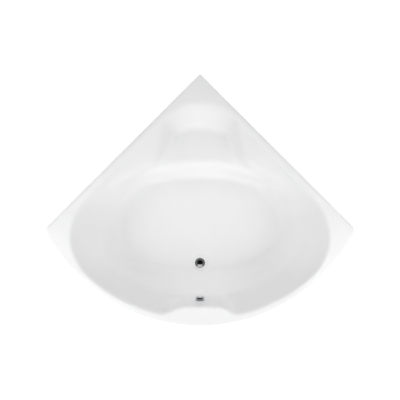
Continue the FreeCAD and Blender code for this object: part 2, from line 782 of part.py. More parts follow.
def overflow_body():
    """Overflow housing behind the wall: flange, cup, screw pillars, pipe spigot and cable gland."""
    flange_back = cup_face - body_flange_thickness
    flange = disc(off_wall(flange_back), body_flange_radius, body_flange_thickness, into_basin)
    cup = disc(off_wall(flange_back - cup_depth), cup_radius, cup_depth + 1, into_basin)
    spigot = disc(Vector(0, cup_centre.y, spigot_end_z), spigot_radius,
                  cup_centre.z - spigot_end_z - cup_radius / 2)
    gland_z = cup_centre.z - cup_radius / 2 - gland_length
    gland = disc(Vector(cable_side, cup_centre.y, gland_z), gland_radius, gland_length)
    body = flange.fuse([cup, spigot, gland])
    inside = disc(off_wall(flange_back - cup_depth + cup_wall), cup_radius - cup_wall,
                  cup_depth + body_flange_thickness, into_basin)
    spigot_bore = disc(Vector(0, cup_centre.y, spigot_end_z - 1), spigot_radius - spigot_wall,
                       cup_centre.z - spigot_end_z)
    gland_bore = disc(Vector(cable_side, cup_centre.y, gland_z - 1), cable_radius, gland_length + 8)
    body = body.cut([inside, spigot_bore, gland_bore])
    pillars = []
    for side in (-1, 1):
        pillar = disc(off_wall(flange_back - cup_depth + 1, side * screw_spacing / 2),
                      screw_radius + pillar_wall, cup_depth + body_flange_thickness - 2, into_basin)
        pillars.append(pillar)
    body = body.fuse(pillars)
    holes = [disc(off_wall(flange_back - cup_depth + pillar_bore_start, side * screw_spacing / 2),
                  screw_radius, 2 * cup_depth, into_basin) for side in (-1, 1)]
    return body.cut(holes)


def overflow_screws():
    """Two screws that clamp the plate, the shell and the overflow body together."""
    screws = []
    for side in (-1, 1):
        start = cup_face - body_flange_thickness - cup_depth + pillar_bore_start + 2
        shank = disc(off_wall(start, side * screw_spacing / 2), screw_radius,
                     plate_thickness - start, into_basin)
        head = disc(off_wall(plate_thickness - plate_sink, side * screw_spacing / 2),
                    screw_radius * screw_head_ratio, screw_head_height, into_basin)
        screws.append(shank.fuse(head))
    return Part.makeCompound(screws)


class PipePath:
    """Straight down, a quarter bend, then straight towards the room corner."""

    def __init__(self, top, end, bend_radius):
        bend_start = Vector(top.x, top.y, end.z + bend_radius)
        bend_centre = bend_start + ALONG_Y * bend_radius
        bend_middle = bend_centre - (ALONG_Y + UP) * (bend_radius / ROOT2)
        bend_end = bend_centre - UP * bend_radius
        self.top = top
        self.end = end
        self.wire = Part.Wire([
            Part.makeLine(top, bend_start),
            Part.Arc(bend_start, bend_middle, bend_end).toShape(),
            Part.makeLine(bend_end, end),
        ])

    def pipe(self, radius):
        start = Part.Wire(Part.makeCircle(radius, self.top, UP * -1))
        return self.wire.makePipeShell([start], True, True)


pipe_path = PipePath(Vector(0, cup_centre.y, spigot_end_z), Vector(0, inlet_end_y, inlet_z),
                     overflow_bend_radius)


def overflow_pipe():
    """Bent pipe from the overflow to the waste."""
    return pipe_path.pipe(spigot_radius).cut(pipe_path.pipe(spigot_radius - spigot_wall))


def overflow_nuts():
    """Slip nuts over the overflow pipe's two joints."""
    nuts = []
    for place, direction in ((pipe_path.top, UP), (pipe_path.end, ALONG_Y)):
        start = place - direction * (nut_length / 2)
        nuts.append(ring(start, nut_radius, spigot_radius + 0.1, nut_length, direction))
    return Part.makeCompound(nuts)


# ---- Trap and outlet ------------------------------------------------------------------------------------
trap_inlet_z = body_bottom_z - spigot_length
outlet_way = polar(90 - outlet_turn)
trap_centre = waste_place + UP * outlet_z
outlet_start = trap_centre + outlet_way * (cup_trap_radius + outlet_branch)


def trap_body():
    """Cup trap: the waste's tube dips into the water that the cup holds below its outlet."""
    cup = disc(waste_place + UP * trap_bottom_z, cup_trap_radius, trap_height)
    branch_length = cup_trap_radius + outlet_branch
    branch = disc(trap_centre, pipe_radius, branch_length, outlet_way)
    neck = disc(waste_place + UP * trap_top_z, pipe_radius, trap_inlet_z - trap_top_z)
    outside = cup.fuse([branch, neck])
    floor = trap_bottom_z + trap_wall
    hollow = disc(waste_place + UP * floor, cup_trap_radius - trap_wall, trap_top_z - trap_wall - floor)
    branch_bore = disc(trap_centre, pipe_radius - pipe_wall, branch_length, outlet_way)
    dip_z = trap_bottom_z + trap_dip_gap
    dip = disc(waste_place + UP * dip_z, pipe_radius, trap_top_z - dip_z)
    dip_bore = disc(waste_place + UP * dip_z, pipe_radius - pipe_wall, trap_inlet_z - dip_z)
    return outside.cut([hollow, branch_bore]).fuse(dip).cut(dip_bore)


def trap_nuts():
    """Slip nuts over the joints above and behind the trap."""
    nuts = []
    for place, direction in ((waste_place + UP * trap_inlet_z, UP), (outlet_start, outlet_way)):
        start = place - direction * (trap_nut_length / 2)
        nuts.append(ring(start, trap_nut_radius, pipe_radius + 0.1, trap_nut_length, direction))
    return Part.makeCompound(nuts)


def outlet_pipe():
    """Outlet pipe, with a bead that stops the socket which slides over its free end."""
    pipe = disc(outlet_start, pipe_radius, outlet_length, outlet_way)
    bead_start = outlet_start + outlet_way * (outlet_length - outlet_seat - outlet_bead)
    bead = disc(bead_start, outlet_bead_radius, outlet_bead, outlet_way)
    return pipe.fuse(bead).cut(disc(outlet_start, pipe_radius - pipe_wall, outlet_length, outlet_way))


# ---- Front panel, brackets and wall clips --------------------------------------------------------------
def in_front_of_walls():
    """Space that a panel may fill: the front, short of both wall lines."""
    top = apex_y - panel_end_offset * ROOT2
    points = [Vector(0, top, 0), Vector(-2 * end_x, top - 2 * end_x, 0), Vector(2 * end_x, top - 2 * end_x, 0)]
    return Part.Face(Part.makePolygon(points + points[:1])).extrude(UP * rim_height)


def front_panel():
    """Curved panel tucked up behind the lip, with a stiffening return along its bottom."""
    height = deck_under_z - seat_gap - panel_bottom
    outer = panel_outline.face(panel_bottom).extrude(UP * height)
    inner = panel_outline.grown(-panel_wall).face(panel_bottom + panel_wall)
    well = panel_outline.grown(-panel_return).face(panel_bottom)
    panel = outer.cut([inner.extrude(UP * height), well.extrude(UP * height)])
    return panel.common(in_front_of_walls()).cut([disc(*hole) for hole in panel_holes()])


def bracket_angle():
    """Angle round from the middle of the front to the arms, seen from the front curve's centre."""
    return math.degrees(math.asin(arm_x / (front_radius - panel_offset - panel_wall)))


def panel_holes():
    """Screw holes through the panel: start, radius, length and direction of each."""
    holes = []
    centre_y = front_y + front_radius
    for side in (-1, 1):
        out = polar(270 + side * bracket_angle())
        for drop in (bracket_screw_inset, bracket_height - bracket_screw_inset):
            z = rail_bottom_z + tube / 2 + bracket_height / 2 - drop
            face = Vector(0, centre_y, z) + out * (front_radius - panel_offset)
            holes.append((face - out * (panel_wall + bracket_thickness + 2), screw_radius,
                          panel_wall + bracket_thickness + 3, out))
    return holes


def panel_bracket():
    """Angle bracket from the end of the left arm to the panel."""
    out = polar(270 - bracket_angle())
    centre = Vector(0, front_y + front_radius, 0)
    face = centre + out * (front_radius - panel_offset - panel_wall - seat_gap)
    low_z = rail_bottom_z + tube / 2 - bracket_height / 2
    plate = box((-bracket_width / 2, 0, low_z), (bracket_width / 2, bracket_thickness, low_z + bracket_height))
    plate.rotate(Vector(0, 0, 0), UP, -bracket_angle())
    plate.translate(Vector(face.x, face.y + bracket_gap, 0))
    leg_low = rail_bottom_z - bracket_thickness
    leg = box((-arm_x - tube / 2, face.y + bracket_thickness, leg_low),
              (-arm_x + tube / 2, arm_end_y + bracket_leg, rail_bottom_z))
    holes = [disc(*hole) for hole in panel_holes()]
    return plate.fuse(leg).cut(holes)


def panel_screws():
    screws = []
    for start, radius, length, out in panel_holes():
        shank = disc(start, radius, length - 1, out)
        head = disc(start + out * (length - 1), radius * panel_screw_head_ratio, panel_screw_head_height, out)
        screws.append(shank.fuse(head))
    return Part.makeCompound(screws)


def wall_clip(along):
    """Z-shaped clip on the left wall that the lip hooks over."""
    lip_bottom = rim_height - lip_height
    shelf_top = lip_bottom - seat_gap
    behind = shell_wall + seat_gap
    def plate(low_offset, high_offset, low_z, high_z):
        half = clip_width / 2
        corners = ((along - half, low_offset), (along + half, low_offset),
                   (along + half, high_offset), (along - half, high_offset))
        points = [by_wall(at, offset, low_z) for at, offset in corners]
        return Part.Face(Part.makePolygon(points + points[:1])).extrude(UP * (high_z - low_z))
    low_z = shelf_top - clip_height
    clip = plate(0, clip_thickness, low_z, shelf_top).fuse([
        plate(0, behind + clip_thickness, shelf_top - clip_thickness, shelf_top),
        plate(behind, behind + clip_thickness, shelf_top - clip_thickness, shelf_top + clip_hook),
    ])
    into_room = polar(-45)
    holes = []
    for side in (-1, 1):
        place = by_wall(along + side * clip_hole_spacing / 2, -1, low_z + clip_hole_rise)
        holes.append(disc(place, clip_hole_radius, clip_thickness + 2, into_room))
    return clip.cut(holes)


def wall_clips():
    clips = []
    for along in clip_along:
        clips.extend(both_sides(wall_clip(along)))
    return Part.makeCompound(clips)


def board_screws():
    """Screws up through the rails into the base board."""
    places = [(step * board_screw_spacing, long_rail_y) for step in (-1.5, -0.5, 0.5, 1.5)]
    places += [(0, -board_screw_y), (0, board_screw_y)]
    return Part.makeCompound([wood_screw(Vector(x, y, rail_bottom_z), UP, tube + board_screw_bite)
                              for x, y in places])


def block_screws():
    """Screws up through the uprights' top plates into the deck blocks."""
    screws = []
    for x, y in (feet["left"], feet["right"], feet["corner"]):
        for side in (-1, 1):
            place = Vector(x + side * top_plate * block_screw_share, y, block_bottom_z - top_plate_thickness)
            screws.append(wood_screw(place, UP, top_plate_thickness + board_screw_bite))
    return Part.makeCompound(screws)


def drilled(shape, screws):
    """The shape with clean holes where screws pass."""
    return shape.cut(screws.Solids)


def save(name, shape):
    shape.exportStep("parts/" + name + ".step")


def main():
    os.makedirs("parts", exist_ok=True)
    rail_screws = board_screws()
    plate_screws = block_screws()
    save("tub_shell", tub_shell())
    save("base_board", drilled(base_board(), rail_screws))
    for side, batten in zip(("left", "right"), both_sides(wall_batten())):
        save("rim_batten_" + side, batten)
    save("rim_batten_front", front_batten())
    save("long_rail", drilled(long_rail(), rail_screws))
    save("centre_rail", drilled(centre_rail(), rail_screws))
    for side, arm in zip(("left", "right"), both_sides(front_arm())):
        save("front_arm_" + side, arm)
    for name in ("left", "right", "corner"):
        x, y = feet[name]
        save(name + "_upright", drilled(upright(x, y), plate_screws))
        save(name + "_deck_block", drilled(deck_block(x, y), plate_screws))
    save("board_screws", rail_screws)
    save("block_screws", plate_screws)
    for name, (x, y) in feet.items():
        save("foot_pad_" + name, foot_pad(x, y))
        save("foot_stud_" + name, foot_stud(name, x, y))
    save("foot_lock_nuts", lock_nuts())
    save("waste_flange", waste_flange())
    save("waste_seal_upper", waste_seal_upper())
    save("waste_seal_lower", waste_seal_lower())
    save("waste_body", waste_body())
    save("lift_lever", lift_lever())
    save("lever_pin", lever_pin())
    save("plug", plug())
    save("plug_seal", plug_seal())
    save("overflow_plate", overflow_plate())
    save("overflow_knob", overflow_knob())
    save("overflow_seal", overflow_seal())
    save("overflow_body", overflow_body())
    save("overflow_screws", overflow_screws())
    save("overflow_pipe", overflow_pipe())
    save("overflow_nuts", overflow_nuts())
    save("trap_body", trap_body())
    save("trap_nuts", trap_nuts())
    save("outlet_pipe", outlet_pipe())
    save("front_panel", front_panel())
    for side, bracket in zip(("left", "right"), both_sides(panel_bracket())):
        save("panel_bracket_" + side, bracket)
    save("panel_screws", panel_screws())
    save("wall_clips", wall_clips())


main()
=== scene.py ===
"""Looks of a corner bathtub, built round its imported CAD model."""

import json
import logging
import math
from copy import copy
from dataclasses import dataclass, field, replace
from enum import Enum
from typing import ClassVar

import bmesh
import bpy
import numpy as np
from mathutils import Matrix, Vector
from mathutils.bvhtree import BVHTree

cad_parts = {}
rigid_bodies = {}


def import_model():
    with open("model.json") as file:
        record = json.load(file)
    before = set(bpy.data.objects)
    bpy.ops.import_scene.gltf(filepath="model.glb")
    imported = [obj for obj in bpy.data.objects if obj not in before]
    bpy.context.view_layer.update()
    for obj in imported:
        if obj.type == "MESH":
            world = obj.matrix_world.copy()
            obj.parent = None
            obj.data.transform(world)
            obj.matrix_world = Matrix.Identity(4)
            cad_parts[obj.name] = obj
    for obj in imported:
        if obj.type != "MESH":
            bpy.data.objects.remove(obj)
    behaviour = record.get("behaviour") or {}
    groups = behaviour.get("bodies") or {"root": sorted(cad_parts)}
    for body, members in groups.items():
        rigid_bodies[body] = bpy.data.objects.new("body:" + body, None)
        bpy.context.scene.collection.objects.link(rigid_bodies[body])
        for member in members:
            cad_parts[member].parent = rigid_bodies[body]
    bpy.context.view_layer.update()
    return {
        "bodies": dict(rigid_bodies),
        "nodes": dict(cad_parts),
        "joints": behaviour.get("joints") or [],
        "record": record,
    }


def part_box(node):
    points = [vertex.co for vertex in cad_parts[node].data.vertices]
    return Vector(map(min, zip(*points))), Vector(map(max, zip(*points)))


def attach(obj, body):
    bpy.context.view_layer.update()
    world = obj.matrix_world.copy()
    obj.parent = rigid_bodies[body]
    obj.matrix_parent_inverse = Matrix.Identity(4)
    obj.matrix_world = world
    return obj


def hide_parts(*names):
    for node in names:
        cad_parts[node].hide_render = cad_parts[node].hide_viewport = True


log = logging.getLogger("bathtub")

Colour = tuple[float, float, float]
Socket = bpy.types.NodeSocket
ROOT2 = math.sqrt(2)
UP = Vector((0.0, 0.0, 1.0))
FRAME: dict = {}


# ---- Shader node groups --------------------------------------------------------------------------
class NodeTree:
    """Small helper that adds and joins shader nodes in one tree."""

    def __init__(self, tree: bpy.types.NodeTree) -> None:
        """Keep the tree.

        Args:
            tree: The tree that nodes are added to.
        """
        self.tree = tree

    def add(self, kind: str, **settings: object) -> bpy.types.Node:
        """Add a node and set its properties.

        Args:
            kind: The node's type name.
            settings: Property names and values.

        Returns:
            The new node.
        """
        node = self.tree.nodes.new(kind)
        for name, value in settings.items():
            setattr(node, name, value)
        return node

    def join(self, start: Socket, end: Socket) -> None:
        """Link an output socket to an input socket."""
        self.tree.links.new(start, end)


def new_group(name: str, inputs: dict[str, float],
              outputs: list[str]) -> tuple[NodeTree, bpy.types.Node, bpy.types.Node]:
    """Make a shader node group with a vector input and float inputs and outputs.

    Args:
        name: The group's name.
        inputs: Names and defaults of the float inputs.
        outputs: Names of the float outputs.

    Returns:
        The helper for the group's tree, its input node and its output node.
    """
    tree = bpy.data.node_groups.new(name, "ShaderNodeTree")
    tree.interface.new_socket(name="Vector", in_out="INPUT", socket_type="NodeSocketVector")
    for label, default in inputs.items():
        socket = tree.interface.new_socket(name=label, in_out="INPUT", socket_type="NodeSocketFloat")
        socket.default_value = default
    for label in outputs:
        tree.interface.new_socket(name=label, in_out="OUTPUT", socket_type="NodeSocketFloat")
    helper = NodeTree(tree)
    return helper, helper.add("NodeGroupInput"), helper.add("NodeGroupOutput")


def mottle_group(broad_detail: float = 3.0, fine_detail: float = 2.0, fine_share: float = 0.35,
                 low: float = 0.45, high: float = 0.90) -> bpy.types.NodeTree:
    """Make the group that mixes broad and fine noise, for uneven colour and gloss.

    Args:
        broad_detail: Octaves of the broad noise.
        fine_detail: Octaves of the fine noise.
        fine_share: How much of the fine noise is added.
        low: Mixed noise that gives a mask of 0.
        high: Mixed noise that gives a mask of 1.

    Returns:
        The node group, with a Mask output.
    """
    helper, start, end = new_group("mottle", {"Scale": 20.0, "Fine": 6.0}, ["Mask"])
    broad = helper.add("ShaderNodeTexNoise")
    broad.inputs["Detail"].default_value = broad_detail
    fine = helper.add("ShaderNodeTexNoise")
    fine.inputs["Detail"].default_value = fine_detail
    finer = helper.add("ShaderNodeMath", operation="MULTIPLY")
    mixed = helper.add("ShaderNodeMath", operation="MULTIPLY_ADD")
    mixed.inputs[1].default_value = fine_share
    helper.join(start.outputs["Vector"], broad.inputs["Vector"])
    helper.join(start.outputs["Scale"], broad.inputs["Scale"])
    helper.join(start.outputs["Vector"], fine.inputs["Vector"])
    helper.join(start.outputs["Scale"], finer.inputs[0])
    helper.join(start.outputs["Fine"], finer.inputs[1])
    helper.join(finer.outputs[0], fine.inputs["Scale"])
    helper.join(fine.outputs[0], mixed.inputs[0])
    helper.join(broad.outputs[0], mixed.inputs[2])
    spread = helper.add("ShaderNodeMapRange")
    spread.inputs["From Min"].default_value = low
    spread.inputs["From Max"].default_value = high
    helper.join(mixed.outputs[0], spread.inputs["Value"])
    helper.join(spread.outputs[0], end.inputs["Mask"])
    return helper.tree


def chips_group(edge_width: float = 0.06) -> bpy.types.NodeTree:
    """Make the group of flat irregular cells, for pressed wood chips and zinc spangle.

    Args:
        edge_width: Width of a cell's edge, as a share of its size.

    Returns:
        The node group, with Mask and Edge outputs.
    """
    helper, start, end = new_group("chips", {"Scale": 60.0, "Stretch": 1.0}, ["Mask", "Edge"])
    squeeze = helper.add("ShaderNodeCombineXYZ")
    squeeze.inputs[1].default_value = 1.0
    squeeze.inputs[2].default_value = 1.0
    helper.join(start.outputs["Stretch"], squeeze.inputs[0])
    turned = helper.add("ShaderNodeVectorMath", operation="MULTIPLY")
    helper.join(start.outputs["Vector"], turned.inputs[0])
    helper.join(squeeze.outputs[0], turned.inputs[1])
    cells = helper.add("ShaderNodeTexVoronoi")
    edges = helper.add("ShaderNodeTexVoronoi", feature="DISTANCE_TO_EDGE")
    for texture in (cells, edges):
        helper.join(turned.outputs[0], texture.inputs["Vector"])
        helper.join(start.outputs["Scale"], texture.inputs["Scale"])
    split = helper.add("ShaderNodeSeparateColor")
    helper.join(cells.outputs["Color"], split.inputs[0])
    helper.join(split.outputs[0], end.inputs["Mask"])
    rim = helper.add("ShaderNodeMapRange")
    rim.inputs["From Max"].default_value = edge_width
    helper.join(edges.outputs["Distance"], rim.inputs["Value"])
    helper.join(rim.outputs[0], end.inputs["Edge"])
    return helper.tree


def principled(material: bpy.types.Material) -> bpy.types.Node:
    """Return a material's surface node."""
    return next(node for node in material.node_tree.nodes if node.type == "BSDF_PRINCIPLED")


class Pattern(Enum):
    """What a finish's colour follows."""

    MOTTLE = "mottle"
    CHIPS = "chips"


@dataclass(frozen=True)
class Finish:
    """A surface finish, made into one node material."""

    COAT_ROUGHNESS: ClassVar[float] = 0.12

    name: str
    colour: Colour
    shade: Colour                   # where the pattern's mask is 0
    roughness: float
    roughness_spread: float         # to each side of the roughness
    scale: float
    bump: float                     # relief in metres
    metallic: float = 0.0
    coat: float = 0.0
    pattern: Pattern = Pattern.MOTTLE
    stretch: float = 1.0

    def material(self) -> bpy.types.Material:
        """Build the material.

        Returns:
            The finished material.
        """
        material = bpy.data.materials.new(self.name)
        material.use_nodes = True
        helper = NodeTree(material.node_tree)
        surface = principled(material)
        surface.inputs["Metallic"].default_value = self.metallic
        surface.inputs["Coat Weight"].default_value = self.coat
        surface.inputs["Coat Roughness"].default_value = self.COAT_ROUGHNESS
        place = helper.add("ShaderNodeTexCoord")
        marks = helper.add("ShaderNodeGroup", node_tree=self.group())
        marks.inputs["Scale"].default_value = self.scale
        if self.pattern is Pattern.CHIPS:
            marks.inputs["Stretch"].default_value = self.stretch
        helper.join(place.outputs["Object"], marks.inputs["Vector"])
        colour = helper.add("ShaderNodeMix", data_type="RGBA")
        colour.inputs[6].default_value = (*self.shade, 1.0)
        colour.inputs[7].default_value = (*self.colour, 1.0)
        helper.join(marks.outputs["Mask"], colour.inputs[0])
        helper.join(colour.outputs[2], surface.inputs["Base Color"])
        gloss = helper.add("ShaderNodeMapRange")
        gloss.inputs["To Min"].default_value = self.roughness - self.roughness_spread
        gloss.inputs["To Max"].default_value = self.roughness + self.roughness_spread
        helper.join(marks.outputs["Mask"], gloss.inputs["Value"])
        helper.join(gloss.outputs[0], surface.inputs["Roughness"])
        relief = helper.add("ShaderNodeBump")
        relief.inputs["Strength"].default_value = 1.0
        relief.inputs["Distance"].default_value = self.bump
        helper.join(marks.outputs["Mask"], relief.inputs["Height"])
        helper.join(relief.outputs[0], surface.inputs["Normal"])
        return material

    def group(self) -> bpy.types.NodeTree:
        """Return the shared node group of the finish's pattern, made when first asked for."""
        known = bpy.data.node_groups.get(self.pattern.value)
        return known or {Pattern.MOTTLE: mottle_group, Pattern.CHIPS: chips_group}[self.pattern]()


FINISHES = {
    "shell_acrylic": Finish("white_acrylic", (0.880, 0.880, 0.880), (0.870, 0.871, 0.872), 0.22, 0.03, 9.0,
                            0.00004, coat=0.2),
    "panel_acrylic": Finish("white_panel_acrylic", (0.87, 0.875, 0.88), (0.86, 0.866, 0.872), 0.16, 0.03,
                            14.0, 0.00005, coat=0.4),
    "chrome": Finish("polished_chrome", (0.80, 0.81, 0.83), (0.74, 0.755, 0.78), 0.07, 0.035, 160.0, 0.00001,
                     metallic=1.0),
    "seal_rubber": Finish("black_rubber", (0.035, 0.035, 0.038), (0.018, 0.018, 0.02), 0.72, 0.08, 420.0,
                          0.0001),
    "white_polypropylene": Finish("white_polypropylene", (0.80, 0.81, 0.80), (0.73, 0.745, 0.74), 0.42, 0.07,
                                  260.0, 0.00005),
    "lever_plastic": Finish("dark_nylon", (0.09, 0.09, 0.10), (0.05, 0.05, 0.055), 0.5, 0.08, 300.0, 0.00005),
    "zinc_steel": Finish("zinc_plated_steel", (0.66, 0.67, 0.69), (0.57, 0.585, 0.61), 0.34, 0.07, 700.0,
                         0.00002, metallic=1.0, pattern=Pattern.CHIPS),
    "painted_steel": Finish("powder_coated_steel", (0.30, 0.315, 0.335), (0.26, 0.272, 0.29), 0.48, 0.06,
                            520.0, 0.00007),
    "foot_plastic": Finish("black_foot_plastic", (0.05, 0.05, 0.055), (0.028, 0.028, 0.032), 0.6, 0.08, 380.0,
                           0.00008),
    "board": Finish("pressed_chip_board", (0.56, 0.42, 0.26), (0.36, 0.25, 0.14), 0.74, 0.08, 95.0, 0.0002,
                    pattern=Pattern.CHIPS, stretch=0.35),
}
RESIN = Finish("glass_fibre_resin", (0.80, 0.79, 0.755), (0.71, 0.70, 0.66), 0.5, 0.1, 150.0, 0.0003,
               pattern=Pattern.CHIPS, stretch=0.25)
PALE_FLOOR = Finish("pale_floor", (0.40, 0.40, 0.40), (0.38, 0.38, 0.38), 0.9, 0.02, 3.0, 0.0001)


# ---- Plan outlines -------------------------------------------------------------------------------
@dataclass(frozen=True)
class Outline:
    """Corner-shaped outline in plan, in metres: two wall lines, rounded corners and a curved front."""

    apex_y: float
    wall_offset: float
    front_y: float
    front_radius: float
    end_radius: float
    apex_radius: float
    platform: float | None = None
    platform_half_width: float = 0.103
    platform_reach: float = 0.290
    flank_pull: float = 0.45

    def grown(self, by: float) -> "Outline":
        """Move the outline outwards all round.

        Args:
            by: Distance to move it, in metres.

        Returns:
            The moved outline.
        """
        return replace(self, wall_offset=self.wall_offset - by, front_y=self.front_y - by,
                       front_radius=self.front_radius + by, end_radius=self.end_radius + by,
                       apex_radius=self.apex_radius + by)

    def arc(self, centre: Vector, radius: float, start: float, end: float, count: int) -> list[Vector]:
        """Points on an arc, without its end point.

        Args:
            centre: The arc's centre.
            radius: The arc's radius.
            start: Start angle in degrees.
            end: End angle in degrees.
            count: Number of points.

        Returns:
            The points.
        """
        angles = [math.radians(start + (end - start) * step / count) for step in range(count)]
        return [centre + Vector((math.cos(angle), math.sin(angle))) * radius for angle in angles]

    def half(self, counts: tuple[int, int, int, int, int]) -> list[Vector]:
        """Points down the left half, from the room corner to the middle of the front.

        Args:
            counts: Points on the corner arc, wall line, end arc, front arc and the platform's flank.

        Returns:
            The points, the first and last on the middle line.
        """
        top = self.apex_y - self.wall_offset * ROOT2
        front_centre = Vector((0.0, self.front_y + self.front_radius))
        line = top - ROOT2 * self.end_radius - front_centre.y
        reach = (line + math.sqrt(2 * (self.front_radius - self.end_radius) ** 2 - line ** 2)) / 2
        end_centre = Vector((-reach, top - ROOT2 * self.end_radius - reach))
        apex_centre = Vector((0.0, top - ROOT2 * self.apex_radius))
        to_front = end_centre - front_centre
        front_angle = math.degrees(math.atan2(to_front.y, to_front.x)) % 360
        points = self.arc(apex_centre, self.apex_radius, 90, 135, counts[0])
        out = Vector((-1.0, 1.0)) / ROOT2
        wall = (apex_centre + out * self.apex_radius, end_centre + out * self.end_radius)
        points += [wall[0].lerp(wall[1], step / counts[1]) for step in range(counts[1])]
        points += self.arc(end_centre, self.end_radius, 135, front_angle, counts[2])
        if self.platform is None:
            return points + self.arc(front_centre, self.front_radius, front_angle, 270, counts[3]) + [
                Vector((0.0, self.front_y))]
        flank_angle = 270 - math.degrees(math.asin(self.platform_reach / self.front_radius))
        points += self.arc(front_centre, self.front_radius, front_angle, flank_angle, counts[3])
        turn = math.radians(flank_angle)
        start = front_centre + Vector((math.cos(turn), math.sin(turn))) * self.front_radius
        end = Vector((-self.platform_half_width, self.front_y + self.platform))
        pull = self.flank_pull * (end.x - start.x)
        knots = [start, start + Vector((-math.sin(turn), math.cos(turn))) * pull,
                 end - Vector((pull, 0.0)), end]
        for step in range(counts[4]):
            share = step / counts[4]
            rest = 1 - share
            weights = (rest ** 3, 3 * rest ** 2 * share, 3 * rest * share ** 2, share ** 3)
            points.append(sum((knot * weight for knot, weight in zip(knots, weights)), Vector((0.0, 0.0))))
        flat = max(counts[4] // 3, 2)
        return points + [end.lerp(Vector((0.0, end.y)), step / flat) for step in range(flat + 1)]

    def loop(self, counts: tuple[int, int, int, int, int]) -> list[Vector]:
        """Points all round, counter-clockwise from the room corner.

        Args:
            counts: As for half.

        Returns:
            The points.
        """
        left = self.half(counts)
        return left + [Vector((-point.x, point.y)) for point in reversed(left[1:-1])]


# ---- The moulded shell ---------------------------------------------------------------------------
class HeightField:
    """Heights of the shell's upper surface on a square grid, softened as a moulding is."""

    MARGIN = 0.1

    def __init__(self, node: str, pitch: float, top: float) -> None:
        """Drop a ray on a node at each grid point.

        Args:
            node: The CAD node, such as the shell.
            pitch: Grid spacing in metres.
            top: Height of the rim, also used outside the node.
        """
        low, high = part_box(node)
        spans = (high.x - low.x, high.y - low.y)
        self.pitch = pitch
        self.low = Vector((low.x - self.MARGIN, low.y - self.MARGIN))
        self.counts = tuple(math.ceil((span + 2 * self.MARGIN) / pitch) for span in spans)
        mesh = FRAME["nodes"][node].data
        tree = BVHTree.FromPolygons([vertex.co for vertex in mesh.vertices],
                                    [polygon.vertices for polygon in mesh.polygons])
        self.heights = np.full(self.counts, top)
        for column in range(self.counts[0]):
            for row in range(self.counts[1]):
                start = Vector((self.low.x + column * pitch, self.low.y + row * pitch, top + self.MARGIN))
                hit = tree.ray_cast(start, -UP)[0]
                if hit is not None:
                    self.heights[column, row] = hit.z

    def fill_hole(self, x: float, y: float, radius: float, height: float) -> None:
        """Level the grid over a drilled hole.

        Args:
            x: The hole's centre.
            y: The hole's centre.
            radius: How far round it to level.
            height: The level.
        """
        columns = self.low.x + np.arange(self.counts[0]) * self.pitch - x
        rows = self.low.y + np.arange(self.counts[1]) * self.pitch - y
        inside = columns[:, None] ** 2 + rows[None, :] ** 2 < radius ** 2
        self.heights[inside] = height

    def softened(self, spread: float) -> "HeightField":
        """Blur the heights along both ways.

        Args:
            spread: Standard deviation of the blur, in metres.

        Returns:
            A blurred copy.
        """
        softer = copy(self)
        reach = math.ceil(3 * spread / self.pitch)
        offsets = np.arange(-reach, reach + 1) * self.pitch
        weights = np.exp(-(offsets ** 2) / (2 * spread ** 2))
        weights /= weights.sum()
        for axis in (0, 1):
            padded = np.pad(softer.heights, [(reach, reach) if axis == side else (0, 0) for side in (0, 1)],
                            mode="edge")
            length = softer.heights.shape[axis]
            softer.heights = sum(weight * np.take(padded, range(step, step + length), axis=axis)
                                 for step, weight in enumerate(weights))
        return softer

    def at(self, x: float, y: float) -> float:
        """Height at a point, between its four grid points.

        Args:
            x: Place along X.
            y: Place along Y.

        Returns:
            The height in metres.
        """
        across = (x - self.low.x) / self.pitch
        along = (y - self.low.y) / self.pitch
        column, row = int(across), int(along)
        right, up = across - column, along - row
        near = self.heights[column, row] * (1 - right) + self.heights[column + 1, row] * right
        far = self.heights[column, row + 1] * (1 - right) + self.heights[column + 1, row + 1] * right
        return float(near * (1 - up) + far * up)


